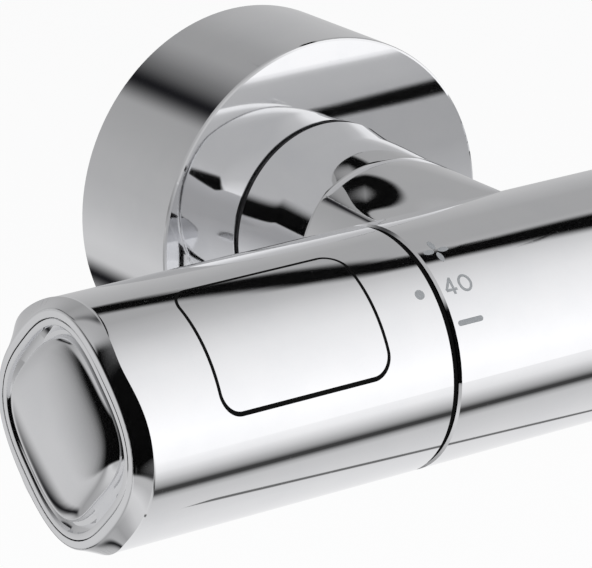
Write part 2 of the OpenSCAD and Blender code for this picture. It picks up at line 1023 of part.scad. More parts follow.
module regulating_slide() {
    ring_t = 1.7;
    hub = wax_r + seat_fit;
    color(plastic)
        left_end()
            difference() {
                union() {
                    tube(slide_r - ring_t, slide_r, -slide_far, -slide_near);
                    tube(hub, slide_r - 0.5, -slide_web[1], -slide_web[0]);
                }
                axial_holes(8, 1.2, slide_r - ring_t - 1.6, -slide_web[1] - 1, -slide_web[0] + 1);
            }
}

module thermo_return_spring() {
    color(steel)
        left_end()
            coil(return_spring_r, return_wire, -spring_floor + 0.1, -slide_web[1] - 0.1, 5);
}

// Flow control, drawn in the frame of the right end

module headpart_housing() {
    color(brass)
        right_end()
            difference() {
                spin([
                    [chamber_r, -head_low], [head_body_r - 1.2, -head_low],
                    [head_body_r - 1.2, -driver_near + 2], [head_body_r, -driver_near + 2],
                    [head_body_r, body_end + face_gap], [collar_r, body_end + face_gap],
                    [collar_r, collar_end], [spindle_r + run_fit, collar_end],
                    [spindle_r + run_fit, -driver_near + 0.2], [chamber_r, -driver_near + 0.2]
                ]);
                radial_holes(4, 1.4, -window_depth, bar_r, 45);
                tube(
                    head_body_r - 2 * cord_r, bar_r,
                    -head_ring_depth - groove_w / 2, -head_ring_depth + groove_w / 2
                );
            }
}

module flow_spindle() {
    color(brass)
        right_end()
            difference() {
                union() {
                    rod(disc_r - 0.1, -driver_far, -driver_near);
                    rod(spindle_r, -driver_near - 0.5, key_start);
                    prism(key_r, key_start - 0.5, key_end, key_sides);
                }
                spindle_groove();
                rod(screw_r, key_start - 2, key_end + 1);
                for (turn = [0, 180])
                    rotate([0, 0, turn])
                        translate([disc_r / 2 + 0.4, 0, -driver_far - 1])
                            cylinder(r = 2.6, h = driver_t + 0.5, $fn = 48);
            }
}

module flow_spindle_seal() {
    color(black)
        right_end()
            seal_ring(spindle_r - 0.5, -1.3, 0.5);
}

module ceramic_disc(far, turn) {
    color(ceramic)
        right_end()
            rotate([0, 0, turn])
                difference() {
                    rod(disc_r, -far, -far + disc_t - face_gap / 5);
                    for (side = [0, 180])
                        rotate([0, 0, side])
                            translate([disc_r / 2 + 0.4, 0, -far - 1])
                                cylinder(r = 2.6, h = disc_t + 2, $fn = 48);
                }
}

module headpart_seal() {
    color(black)
        right_end()
            tube(mixed_r + 0.4, disc_r - 0.1, -head_depth + 0.05, -seal_face - 0.05);
}

module headpart_o_ring() {
    color(black)
        right_end()
            seal_ring(head_body_r - cord_r + 0.07, -head_ring_depth, cord_r);
}

body();
outlet_nipple();
union_nipple(-1);  // hot_union_nipple
union_nut(-1);  // hot_union_nut
nut_cover(-1);  // hot_nut_cover
filter_washer(-1);  // hot_filter_washer
s_union(-1);  // hot_s_union
escutcheon(-1);  // hot_escutcheon
face_ring(-1);  // hot_face_ring
wall_seal(-1);  // hot_wall_seal
check_housing(-1);  // hot_check_housing
check_poppet(-1);  // hot_check_poppet
check_spring(-1);  // hot_check_spring
union_nipple(1);  // cold_union_nipple
union_nut(1);  // cold_union_nut
nut_cover(1);  // cold_nut_cover
filter_washer(1);  // cold_filter_washer
s_union(1);  // cold_s_union
escutcheon(1);  // cold_escutcheon
face_ring(1);  // cold_face_ring
wall_seal(1);  // cold_wall_seal
check_housing(1);  // cold_check_housing
check_poppet(1);  // cold_check_poppet
check_spring(1);  // cold_check_spring
left_end() handle_sleeve();  // temp_handle_sleeve
left_end() handle_cap();  // temp_handle_cap
left_end() handle_carrier();  // temp_handle_carrier
left_end() handle_screw();  // temp_handle_screw
left_end() button();  // temp_button
left_end() button_spring();  // temp_button_spring
left_end() gap_ring();  // temp_gap_ring
left_end() stop_ring(turn_to_cold, turn_to_hot);  // temp_stop_ring
thermo_bonnet();
thermo_spindle();
thermo_spindle_seal();
thermo_housing();
thermo_o_rings();
thermo_pusher();
wax_element();
regulating_slide();
thermo_return_spring();
right_end() handle_sleeve();  // flow_handle_sleeve
right_end() handle_cap();  // flow_handle_cap
right_end() handle_carrier();  // flow_handle_carrier
right_end() handle_screw();  // flow_handle_screw
right_end() button();  // flow_button
right_end() button_spring();  // flow_button_spring
right_end() gap_ring();  // flow_gap_ring
right_end() stop_ring(0, turn_to_open);  // flow_stop_ring
headpart_housing();
flow_spindle();
flow_spindle_seal();
ceramic_disc(seal_face - disc_t, 90);  // moving_disc
ceramic_disc(seal_face, 0);  // fixed_disc
headpart_seal();
headpart_o_ring();
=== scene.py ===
"""Looks of the bar shower valve: finishes, shaped handle ends, dial marks, threads, studio and camera."""
import math

import bmesh
import bpy
import numpy as np
from mathutils import Matrix


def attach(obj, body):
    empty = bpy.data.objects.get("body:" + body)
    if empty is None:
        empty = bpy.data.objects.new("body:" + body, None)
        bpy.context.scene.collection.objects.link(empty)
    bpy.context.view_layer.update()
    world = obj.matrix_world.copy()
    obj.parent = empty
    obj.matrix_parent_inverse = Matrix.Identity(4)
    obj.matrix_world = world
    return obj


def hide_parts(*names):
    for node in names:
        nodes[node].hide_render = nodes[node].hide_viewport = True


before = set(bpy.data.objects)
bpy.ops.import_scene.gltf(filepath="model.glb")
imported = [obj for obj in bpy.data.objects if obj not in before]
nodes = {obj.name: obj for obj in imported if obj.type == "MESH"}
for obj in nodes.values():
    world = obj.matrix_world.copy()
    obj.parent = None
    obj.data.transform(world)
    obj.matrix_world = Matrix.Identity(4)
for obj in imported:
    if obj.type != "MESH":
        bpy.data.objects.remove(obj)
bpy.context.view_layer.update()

# Sizes of the solids that the shapes follow, in millimetres and degrees
MM = 0.001
HALF_LENGTH = 92.6
AXIS_OUT = 69.3
AXIS_DROP = 8.1
BAR_R = 22.0
HANDLE_L = 65.7
DIAL_ANGLE = 45.0
UNION_X = 75.0


# Shader helpers

class Wire:
    """A socket that does arithmetic: each operator adds one Math node and gives its result."""

    def __init__(self, finish, socket):
        self.finish = finish
        self.socket = socket

    def math(self, operation, *others):
        inputs = {0: self}
        inputs.update({k + 1: value for k, value in enumerate(others)})
        return self.finish.add("ShaderNodeMath", {"operation": operation}, inputs)

    def reflected(self, operation, other):
        return self.finish.add("ShaderNodeMath", {"operation": operation}, {0: other, 1: self})

    def __add__(self, other):
        return self.math("ADD", other)

    __radd__ = __add__

    def __sub__(self, other):
        return self.math("SUBTRACT", other)

    def __rsub__(self, other):
        return self.reflected("SUBTRACT", other)

    def __mul__(self, other):
        return self.math("MULTIPLY", other)

    __rmul__ = __mul__

    def __truediv__(self, other):
        return self.math("DIVIDE", other)

    def rise(self, low, high):
        """0 below low, 1 above high, smooth between; low may lie above high."""
        settings = {"interpolation_type": "SMOOTHSTEP"}
        return self.finish.add("ShaderNodeMapRange", settings, {0: self, 1: low, 2: high, 3: 0.0, 4: 1.0})

    def bump_at(self, centre, width):
        """1 at centre, falling smoothly to 0 at a distance of width."""
        return (self - centre).math("ABSOLUTE").rise(width, 0.0)


class Finish:
    """A node tree with one method that adds any node and gives the output asked for, or several."""

    def __init__(self, tree):
        self.tree = tree

    def add(self, kind, settings=None, inputs=None, output=0):
        node = self.tree.nodes.new(kind)
        for key, value in (settings or {}).items():
            if key == "stops":
                self.set_stops(node.color_ramp, value)
            else:
                setattr(node, key, value)
        for key, value in (inputs or {}).items():
            if isinstance(value, Wire):
                self.tree.links.new(value.socket, node.inputs[key])
            else:
                node.inputs[key].default_value = value
        if output is None:
            return None
        if isinstance(output, tuple):
            return [Wire(self, node.outputs[key]) for key in output]
        return Wire(self, node.outputs[output])

    @staticmethod
    def set_stops(ramp, stops):
        while len(ramp.elements) > 1:
            ramp.elements.remove(ramp.elements[-1])
        ramp.elements[0].position = stops[0][0]
        ramp.elements[0].color = stops[0][1]
        for place, colour in stops[1:]:
            ramp.elements.new(place).color = colour

    def mix(self, factor, first, second):
        """Colour between first and second."""
        return self.add("ShaderNodeMix", {"data_type": "RGBA"}, {0: factor, 6: first, 7: second}, 2)

    def place(self, centre=(0, 0, 0), turn=(0, 0, 0), scale=(1, 1, 1)):
        """Object coordinates, centred and turned to suit a piece."""
        where = self.add("ShaderNodeTexCoord", output="Object")
        return self.add("ShaderNodeMapping", {"vector_type": "TEXTURE"},
                        {"Vector": where, "Location": centre, "Rotation": turn, "Scale": scale})

    def split(self, vector):
        return self.add("ShaderNodeSeparateXYZ", None, {0: vector}, (0, 1, 2))

    def grain(self, vector, scale, detail=2.0, rough=0.5):
        return self.add("ShaderNodeTexNoise", None,
                        {"Vector": vector, "Scale": scale, "Detail": detail, "Roughness": rough})


def rgb(r, g, b):
    return (r, g, b, 1.0)


def blank_material(name):
    """A material and its emptied node tree."""
    material = bpy.data.materials.new(name)
    material.use_nodes = True
    material.node_tree.nodes.clear()
    return material, Finish(material.node_tree)


def coat(f, look, height, strength, distance):
    """Ends a finish: one Principled shader with its look, and a bump of the given height."""
    bump = f.add("ShaderNodeBump", None, {"Height": height, "Strength": strength, "Distance": distance})
    shader = f.add("ShaderNodeBsdfPrincipled", None, {**look, "Normal": bump})
    f.add("ShaderNodeOutputMaterial", None, {0: shader}, None)


# Finishes

def polished_chrome(name, tone=0.88, wave=0.25):
    """Mirror chrome plate: a faint long wave from polishing, thin wipe marks and a few dull specks."""
    material, f = blank_material(name)
    where = f.place()
    wave_height = f.grain(where, 38.0, 1.0, 0.4)
    haze = f.grain(where, 90.0, 4.0, 0.6)
    wipes = f.grain(f.place(turn=(0.5, 0.9, 0.2), scale=(0.15, 1, 1)), 900.0, 2.0, 0.6)
    speck = f.grain(where, 2600.0, 0.0).rise(0.78, 0.86)
    clear = rgb(tone, tone * 1.002, tone * 1.012)
    hazed = rgb(tone * 0.97, tone * 0.975, tone * 0.99)
    look = {
        "Metallic": 1.0,
        "Base Color": f.mix(haze.rise(0.35, 0.75), clear, hazed),
        "Roughness": 0.022 + 0.02 * haze + 0.015 * wipes + 0.08 * speck,
    }
    coat(f, look, wave_height + 0.004 * wipes, wave, 0.0001)
    return material


def machined_brass(name, dull=0.0):
    """Turned brass: fine rings of the cutting tool and patches where the air has dulled it."""
    material, f = blank_material(name)
    where = f.place()
    patch = f.grain(where, 60.0, 4.0, 0.6)
    x, y = f.split(where)[:2]
    rings = ((x * 5200.0).math("SINE") + (y * 5200.0).math("SINE")) * 0.25 + 0.5
    fine = f.grain(where, 1500.0, 3.0)
    look = {
        "Metallic": 1.0,
        "Base Color": f.mix(patch.rise(0.3, 0.7), rgb(0.80, 0.60, 0.27), rgb(0.58, 0.40, 0.17)),
        "Roughness": 0.22 + dull + 0.12 * patch + 0.05 * rings,
    }
    coat(f, look, rings * 0.5 + fine, 0.2, 0.00005)
    return material


def moulded_rubber(name, tone=0.022):
    """Black rubber: soft grain with a pale bloom."""
    material, f = blank_material(name)
    where = f.place()
    bloom = f.grain(where, 220.0, 5.0, 0.65)
    grain = f.grain(where, 3000.0, 2.0)
    look = {
        "Specular IOR Level": 0.35,
        "Base Color": f.mix(bloom.rise(0.35, 0.8), rgb(tone, tone, tone * 1.05),
                            rgb(tone * 2.6, tone * 2.6, tone * 2.7)),
        "Roughness": 0.62 + 0.2 * grain,
    }
    coat(f, look, grain, 0.35, 0.00006)
    return material


def moulded_plastic(name, colour, shade, gloss=0.42, shine=0.5):
    """Moulded plastic: fine spark texture and slow changes of tone along the flow."""
    material, f = blank_material(name)
    where = f.place()
    flow = f.grain(where, 35.0, 3.0)
    spark = f.grain(where, 4200.0, 3.0, 0.7)
    look = {
        "Specular IOR Level": shine,
        "Base Color": f.mix(flow.rise(0.3, 0.75), rgb(*colour), rgb(*shade)),
        "Roughness": gloss + 0.14 * spark,
    }
    coat(f, look, spark, 0.25, 0.00005)
    return material


def drawn_steel(name):
    """Spring wire: bright with streaks of drawing oil."""
    material, f = blank_material(name)
    oil = f.grain(f.place(), 400.0, 4.0, 0.6)
    look = {
        "Metallic": 1.0,
        "Base Color": f.mix(oil.rise(0.4, 0.7), rgb(0.62, 0.62, 0.63), rgb(0.36, 0.34, 0.31)),
        "Roughness": 0.25 + 0.2 * oil,
    }
    coat(f, look, oil, 0.2, 0.00005)
    return material


def lapped_ceramic(name):
    """Lapped ceramic: nearly white, with a faint cloud and a satin face."""
    material, f = blank_material(name)
    cloud = f.grain(f.place(), 150.0, 4.0)
    look = {
        "Coat Weight": 0.3,
        "Base Color": f.mix(cloud.rise(0.3, 0.7), rgb(0.88, 0.87, 0.82), rgb(0.80, 0.79, 0.75)),
        "Roughness": 0.2 + 0.1 * cloud,
    }
    coat(f, look, cloud, 0.1, 0.00003)
    return material


def dial_print(name, colour):
    """Printed dial marks: flat grey ink with slightly uneven cover."""
    material, f = blank_material(name)
    cover = f.grain(f.place(), 1400.0, 4.0, 0.7)
    dark = tuple(0.88 * c for c in colour)
    look = {
        "Specular IOR Level": 0.4,
        "Base Color": f.mix(cover.rise(0.35, 0.7), rgb(*colour), rgb(*dark)),
        "Roughness": 0.42 + 0.2 * cover,
    }
    coat(f, look, cover, 0.2, 0.00003)
    return material


body_chrome = polished_chrome("body_chrome", 0.89, 0.18)
handle_chrome = polished_chrome("handle_chrome", 0.89, 0.12)
cap_chrome = polished_chrome("cap_chrome", 0.86, 0.12)
cover_chrome = polished_chrome("cover_chrome", 0.87, 0.3)
bare_brass = machined_brass("bare_brass")
wall_brass = machined_brass("wall_brass", 0.12)
seal_rubber = moulded_rubber("seal_rubber")
# Near-black finish that is painted shade: it darkens the gap round each button and the gap ring, where shade
# falls in the gaps.
gap_shade_black = moulded_plastic("gap_shade_black", (0.002, 0.002, 0.002), (0.006, 0.006, 0.006), 0.7, 0.05)
dark_nylon = moulded_plastic("dark_nylon", (0.012, 0.012, 0.013), (0.022, 0.022, 0.024))
white_acetal = moulded_plastic("white_acetal", (0.82, 0.81, 0.78), (0.74, 0.73, 0.70), 0.34)
spring_wire = drawn_steel("spring_wire")
disc_ceramic = lapped_ceramic("disc_ceramic")
grey_ink = dial_print("grey_ink", (0.22, 0.23, 0.24))

NODE_FINISHES = {
    "body": body_chrome, "outlet_nipple": body_chrome,
    "union_nipple": bare_brass, "union_nut": bare_brass, "s_union": wall_brass,
    "nut_cover": cover_chrome, "escutcheon": cover_chrome,
    "filter_washer": seal_rubber, "face_ring": seal_rubber, "wall_seal": seal_rubber,
    "check_housing": white_acetal, "check_poppet": white_acetal, "check_spring": spring_wire,
    "handle_sleeve": handle_chrome, "handle_cap": cap_chrome, "handle_carrier": dark_nylon,
    "handle_screw": spring_wire, "button": handle_chrome, "button_spring": spring_wire,
    # The gap ring takes the near-black painted shade of the gap between handle and body.
    "gap_ring": gap_shade_black, "stop_ring": white_acetal,
    "thermo_bonnet": bare_brass, "thermo_spindle": bare_brass, "thermo_spindle_seal": seal_rubber,
    "thermo_housing": white_acetal, "thermo_o_rings": seal_rubber, "thermo_pusher": bare_brass,
    "wax_element": bare_brass, "regulating_slide": white_acetal, "thermo_return_spring": spring_wire,
    "headpart_housing": bare_brass, "flow_spindle": bare_brass, "flow_spindle_seal": seal_rubber,
    "moving_disc": disc_ceramic, "fixed_disc": disc_ceramic,
    "headpart_seal": seal_rubber, "headpart_o_ring": seal_rubber,
}

for node_name, node_object in nodes.items():
    plain = node_name
    for prefix in ("hot_", "cold_", "temp_", "flow_"):
        if plain not in NODE_FINISHES and plain.startswith(prefix):
            plain = plain[len(prefix):]
    node_object.data.materials.clear()
    node_object.data.materials.append(NODE_FINISHES[plain])


# Surfaces

def end_place(side, s, front, up):
    """Points in metres from places given from a handle's gap: s outward along the bar, front and up
    from its axis."""
    x = side * (HALF_LENGTH + np.asarray(s, float))
    y = -AXIS_OUT - np.asarray(front, float)
    z = -AXIS_DROP + np.asarray(up, float)
    return np.stack(np.broadcast_arrays(x, y, z), -1) * MM


def polar(side, s, r, angle):
    """As end_place, with a radius and an angle in degrees up from the front."""
    a = np.radians(angle)
    return end_place(side, s, r * np.cos(a), r * np.sin(a))


def grid_faces(rows, cols, wrap_rows=False, wrap_cols=False, start=0):
    """Quads between neighbouring points of a grid of rows and columns."""
    i = np.arange(rows if wrap_rows else rows - 1)
    k = np.arange(cols if wrap_cols else cols - 1)
    i, k = [a.ravel() for a in np.meshgrid(i, k, indexing="ij")]
    i2, k2 = (i + 1) % rows, (k + 1) % cols
    return start + np.stack([i * cols + k, i * cols + k2, i2 * cols + k2, i2 * cols + k], 1)


def make_piece(name, points, faces, finish, body, sharp=40.0):
    """A mesh piece from points and faces, smoothly shaded apart from edges sharper than sharp degrees."""
    mesh = bpy.data.meshes.new(name)
    mesh.from_pydata(points.tolist(), [], [list(map(int, face)) for face in faces])
    work = bmesh.new()
    work.from_mesh(mesh)
    bmesh.ops.remove_doubles(work, verts=work.verts, dist=1e-7)
    bmesh.ops.recalc_face_normals(work, faces=work.faces)
    work.to_mesh(mesh)
    work.free()
    mesh.shade_smooth()
    mesh.set_sharp_from_angle(angle=math.radians(sharp))
    mesh.materials.append(finish)
    piece = bpy.data.objects.new(name, mesh)
    bpy.context.scene.collection.objects.link(piece)
    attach(piece, body)
    return piece


def stack_rings(rings, cap_first, cap_last):
    """Points and faces of a closed skin through rings of equal count; an end may close in a point."""
    rows, cols = len(rings), rings[0].shape[0]
    points = np.concatenate(rings)
    faces = grid_faces(rows, cols, wrap_cols=True).tolist()
    for wanted, ring in ((cap_first, 0), (cap_last, rows - 1)):
        if wanted is None:
            continue
        tip = len(points)
        points = np.concatenate([points, [wanted]])
        k = np.arange(cols)
        faces += np.stack([ring * cols + k, ring * cols + (k + 1) % cols, np.full(cols, tip)], 1).tolist()
    return points, faces


# Handle ends

RIM_HALF = 18.9
RIM_POWER = 2.82
RIM_W = 1.25
CHAMFER_W = 3.5
CHAMFER_LIFT = 0.11
RIM_EDGE = 0.22
FACE_LIFT = 0.03
CAP_GAP = 0.15
# Height above the bar's surface and place along the bar, from the band's foot round to its inside
BAND_FOOT = ((0.05, -0.12), (0.03, -0.5), (-0.3, -0.6))


def rim_radius(angle, half_size):
    """Radius of the rounded square whose flats face the dial angle."""
    a = np.radians(angle - DIAL_ANGLE)
    spread = np.abs(np.cos(a)) ** RIM_POWER + np.abs(np.sin(a)) ** RIM_POWER
    return half_size / spread ** (1 / RIM_POWER)


def chamfer_band(prefix, side, body):
    """Smooth ring over the handle's end: across the flat rim, round a small edge, down the slanted
    band to the round sleeve. Each profile point is blended between the rim's and the sleeve's outline."""
    angle = np.linspace(0, 360, 384, endpoint=False)
    rim = rim_radius(angle, RIM_HALF)
    inner = rim_radius(angle, RIM_HALF - RIM_W)
    fall = np.sqrt(CHAMFER_W ** 2 - (BAR_R - rim) ** 2)
    over = (BAR_R - rim) / CHAMFER_W
    along = fall / CHAMFER_W
    face = HANDLE_L + FACE_LIFT
    foot = HANDLE_L - fall
    rings = []

    def ring(radius, s):
        rings.append(polar(side, np.broadcast_to(s, angle.shape), radius, angle))

    ring(inner + 0.01, HANDLE_L - 0.5)
    ring(inner + 0.01, HANDLE_L - FACE_LIFT)
    ring(inner + 0.07, face)
    for q in (0.35, 0.7):
        ring(inner + q * (rim - inner), face)
    for turn in np.linspace(0, 1, 5):
        ring(rim - RIM_EDGE * (1 - turn) + RIM_EDGE * turn * over + CHAMFER_LIFT * turn,
             face + (CHAMFER_LIFT * over - FACE_LIFT) * turn - RIM_EDGE * turn * along * turn)
    for q in np.linspace(0.12, 1.0, 9):
        ring(rim + q * (BAR_R - rim) + CHAMFER_LIFT * along, HANDLE_L - q * fall + CHAMFER_LIFT * over)
    for height, s in BAND_FOOT:
        ring(BAR_R + height, foot + s)
    ring(rim - 0.8, foot)
    points = np.concatenate(rings)
    faces = grid_faces(len(rings), len(angle), wrap_rows=True, wrap_cols=True)
    make_piece(prefix + "_handle_chamfer", points, faces, handle_chrome, body, 32)


PILLOW_U = 15.0
PILLOW_V = 14.2
PILLOW_POWER = 3.2
PILLOW_H = 2.6
MOAT_DEPTH = 1.3
SKIRT_DEPTH = 4.2
CREST_FALL = (0.75, 0.2)
SHOULDER_POWER = 16
# Inset from the cap's outline and height over its rim, from the skirt's foot to the moat
CAP_PROFILE = ((0.0, -SKIRT_DEPTH), (0.0, -0.12), (0.1, 0.0), (0.95, 0.0), (1.15, -0.05),
               (1.35, -0.5 * MOAT_DEPTH))
PILLOW_RINGS = (1.0, 0.985, 0.965, 0.94, 0.91, 0.87, 0.82, 0.76, 0.69, 0.61, 0.52, 0.42, 0.31, 0.2, 0.1)


def pillow_radius(angle):
    """Outline of the raised pillow: full across the dial angle, shorter along its crest."""
    a = np.radians(angle - DIAL_ANGLE)
    spread = np.abs(np.cos(a) / PILLOW_U) ** PILLOW_POWER + np.abs(np.sin(a) / PILLOW_V) ** PILLOW_POWER
    return 1 / spread ** (1 / PILLOW_POWER)


def end_cap(prefix, side, body):
    """End cap: a skirt, a narrow flat rim, a moat, and a pillow whose height falls off with the squares of
    the shares u and v of the way to its outline, with a rounded shoulder there."""
    angle = np.linspace(0, 360, 256, endpoint=False)
    outline = rim_radius(angle, RIM_HALF - RIM_W - CAP_GAP)
    pillow = pillow_radius(angle)
    moat = HANDLE_L - MOAT_DEPTH
    a = np.radians(angle - DIAL_ANGLE)
    rings = []

    def ring(radius, s):
        rings.append(polar(side, np.broadcast_to(s, angle.shape), radius, angle))

    for inset, height in CAP_PROFILE:
        ring(outline - inset, HANDLE_L + height)
    ring(0.5 * (outline - 1.5 + pillow), moat)
    for q in PILLOW_RINGS:
        u, v = q * np.cos(a) * pillow / PILLOW_U, q * np.sin(a) * pillow / PILLOW_V
        arch = 1 - CREST_FALL[0] * u * u - CREST_FALL[1] * v * v
        shoulder = (1 - q ** SHOULDER_POWER) ** 0.5
        ring(q * pillow, moat + (MOAT_DEPTH + PILLOW_H * arch) * shoulder)
    base = end_place(side, HANDLE_L - SKIRT_DEPTH, 0, 0)
    tip = end_place(side, HANDLE_L + PILLOW_H, 0, 0)
    points, faces = stack_rings(rings, base, tip)
    cap = make_piece(prefix + "_end_cap", points, faces, cap_chrome, body, 32)
    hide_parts(prefix + "_handle_cap")


BUTTON_MID = 30.7
BUTTON_HALF = (16.9, 11.55)
BUTTON_CORNER = 3.4
GROOVE_W = 0.60
GROOVE_W_CHANGE = 0.12
GROOVE_IN = 0.03
# Share of the groove's width and height above the bar's surface, round its section
GROOVE_SECTION = ((0.0, -0.3), (0.0, 0.012), (0.5, 0.018), (1.0, 0.015), (1.0, -0.3))
CORNER_STEPS = 13
SIDE_STEPS = 14


def button_groove_shade(prefix, side, body):
    """Painted shade over the gap round a button: a dark strip laid on the bar, wider below than above, that
    stands in for the shade in the gap. Its path is a rounded rectangle seen
    along the dial angle and laid on the bar: each point is a corner's centre, or a place between two
    corners' centres, plus a radius along the outward direction there."""
    reach = np.array(BUTTON_HALF) - BUTTON_CORNER
    corners = np.array([(1, 1), (-1, 1), (-1, -1), (1, -1)]) * reach
    centres, outwards = [], []
    for k in range(4):
        t = np.radians(np.linspace(90 * k, 90 * k + 90, CORNER_STEPS))
        arc_out = np.stack([np.cos(t), np.sin(t)], 1)
        q = np.linspace(0, 1, SIDE_STEPS + 2)[1:-1, None]
        centres += [np.broadcast_to(corners[k], arc_out.shape),
                    corners[k] * (1 - q) + corners[(k + 1) % 4] * q]
        outwards += [arc_out, np.broadcast_to(arc_out[-1], (SIDE_STEPS, 2))]
    centre, outward = np.concatenate(centres), np.concatenate(outwards)
    wide = GROOVE_W - GROOVE_W_CHANGE * outward[:, 1]

    def line(grow, r):
        flat = centre + (BUTTON_CORNER + grow)[:, None] * outward
        angle = DIAL_ANGLE + np.degrees(np.arcsin(flat[:, 1] / BAR_R))
        return polar(side, BUTTON_MID + flat[:, 0], r, angle)

    loops = [line(np.maximum(GROOVE_IN, share * wide), BAR_R + height) for share, height in GROOVE_SECTION]
    faces = grid_faces(len(loops), len(centre), wrap_rows=True, wrap_cols=True)
    points = np.concatenate(loops)
    # The strip is painted shade: near-black over the gap round the button.
    make_piece(prefix + "_button_groove", points, faces, gap_shade_black, body, 40)


for prefix, side, body in (("temp", -1, "temp_knob"), ("flow", 1, "flow_knob")):
    chamfer_band(prefix, side, body)
    end_cap(prefix, side, body)
    button_groove_shade(prefix, side, body)


# Necks and nut covers

NECK_R = 18.9
NECK_END = -46.8
CROWN_R = 25.3
CROWN_FALL = 15.7
CROWN_FOOT = 12.82
CROWN_TURN = 1.7
DOME_ROUNDS = 6
DOME_REACH = 24.0
LEVEL = 0.05
FAR_R = 400.0
RIDGE_POWER = 90.0
NECK_LIFT = 0.07
NECK_ARC = (-25, 205)
NECK_RUN = (0.004, 1.06)
NECK_SKIN_T = 0.5
COVER_R = 18.65
COVER_FLARE = 0.8
COVER_BACK = -27.95
COVER_FRONT = -46.7
COVER_BORE = 17.65
FLARE_START = -36.7
EASE_START = -36.0
COVER_WALL = 0.45
LIP_R = 16.0
LIP_T = 1.0
RING_R = 18.95
RING_SEAT = -28.7


def union_place(side, r, turn, y):
    """Row position of points at radius r and angle turn (from +X up) about a union's axis."""
    x, y, z = np.broadcast_arrays(side * UNION_X + r * np.cos(turn), y, r * np.sin(turn))
    return np.stack([x, y, z], -1) * MM


def neck_reach(turn, fall):
    """Radius of a neck about the union's axis: the lower of its circle and a domed top. The dome starts as
    an arc about the height of the bar's axis and bends down to a level line at the bar, with the power
    CROWN_TURN. Both are joined by a power mean, which rounds the ridge between them. The dome's height
    depends on the radius, so a few rounds settle it."""
    bend = np.clip(fall, 0, 1.2) ** CROWN_TURN
    reach = NECK_R + 0 * turn + 0 * fall
    for _ in range(DOME_ROUNDS):
        x = np.clip(reach * np.cos(turn), -DOME_REACH, DOME_REACH)
        top = (1 - bend) * (np.sqrt(CROWN_R ** 2 - x * x) - AXIS_DROP) + bend * CROWN_FOOT
        dome = np.where(np.sin(turn) > LEVEL, top / np.maximum(np.sin(turn), LEVEL), FAR_R)
        reach = (NECK_R ** -RIDGE_POWER + np.minimum(dome, FAR_R) ** -RIDGE_POWER) ** (-1 / RIDGE_POWER)
    return reach


def neck_skin(prefix, side):
    """Smooth skin over a neck of the casting: a sheet at neck_reach, a little lifted, and a second one under
    it, joined at their edges."""
    turn = np.radians(np.linspace(*NECK_ARC, 161))[None, :]
    fall = np.linspace(*NECK_RUN, 40)[:, None]
    y = NECK_END - CROWN_FALL * fall
    reach = neck_reach(turn, fall)
    loop = np.concatenate([union_place(side, reach + NECK_LIFT, turn, y),
                           union_place(side, reach - NECK_SKIN_T, turn, y)[:, ::-1]], 1)
    rows, cols = loop.shape[:2]
    faces = grid_faces(rows, cols, wrap_cols=True).tolist()
    k = np.arange(cols // 2 - 1)
    for row in (0, rows - 1):
        start = row * cols
        end = start + cols - 1
        faces += np.stack([start + k, start + k + 1, end - 1 - k, end - k], 1).tolist()
    make_piece(prefix + "_neck_skin", loop.reshape(-1, 3), faces, body_chrome, "valve", 50)


def cover_piece(prefix, side):
    """Nut cover: a sleeve that flares a little at the wall, with a power of 1.5, and whose top eases down to
    meet the neck's dome, with the square of the way there."""
    turn = np.radians(np.linspace(0, 360, 192, endpoint=False))
    front_r = np.minimum(neck_reach(turn, 0.0), COVER_R)
    rings = []

    def ring(r, y):
        rings.append(union_place(side, np.broadcast_to(r, turn.shape), turn, y))

    def outer(y):
        flare = COVER_FLARE * np.clip((y - FLARE_START) / (COVER_BACK - FLARE_START), 0, 1) ** 1.5
        ease = np.clip((EASE_START - y) / (EASE_START - COVER_FRONT), 0, 1) ** 2
        return COVER_R + flare + (front_r - COVER_R) * ease

    ring(RING_R + 0.1, COVER_BACK)
    ring(outer(COVER_BACK) - 0.1, COVER_BACK)
    for y in np.linspace(COVER_BACK - 0.1, COVER_FRONT + 0.12, 34):
        ring(outer(y), y)
    ring(outer(COVER_FRONT) - 0.1, COVER_FRONT)
    ring(LIP_R, COVER_FRONT)
    ring(LIP_R, COVER_FRONT + LIP_T)
    for y in (COVER_FRONT + LIP_T, -40.0):
        ring(np.minimum(COVER_BORE, outer(y) - COVER_WALL), y)
    ring(COVER_BORE, RING_SEAT - 0.05)
    ring(RING_R + 0.1, RING_SEAT)
    faces = grid_faces(len(rings), len(turn), wrap_rows=True, wrap_cols=True)
    points = np.concatenate(rings)
    piece = make_piece(prefix + "_cover", points, faces, cover_chrome, "valve", 40)
    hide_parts(prefix + "_nut_cover")


for prefix, side in (("hot", -1), ("cold", 1)):
    neck_skin(prefix, side)
    cover_piece(prefix, side)


# Printed dial marks

INK_LIFT = 0.02
INK_FOOT = -0.05
INK_W = 0.47


def ribbon(path, width):
    """Flat band of a set width along a path of points, as left and right edges."""
    path = np.asarray(path, float)
    step = np.gradient(path, axis=0)
    step /= np.linalg.norm(step, axis=1, keepdims=True)
    across = np.stack([-step[:, 1], step[:, 0]], 1) * width / 2
    return path + across, path - across


def wrap_on_bar(side, flat, lift=INK_LIFT):
    """Lays flat points (along the bar away from the gap, up round it from the dial angle) on the bar."""
    angle = DIAL_ANGLE + np.degrees(flat[..., 1] / BAR_R)
    return polar(side, -flat[..., 0], BAR_R + lift, angle)


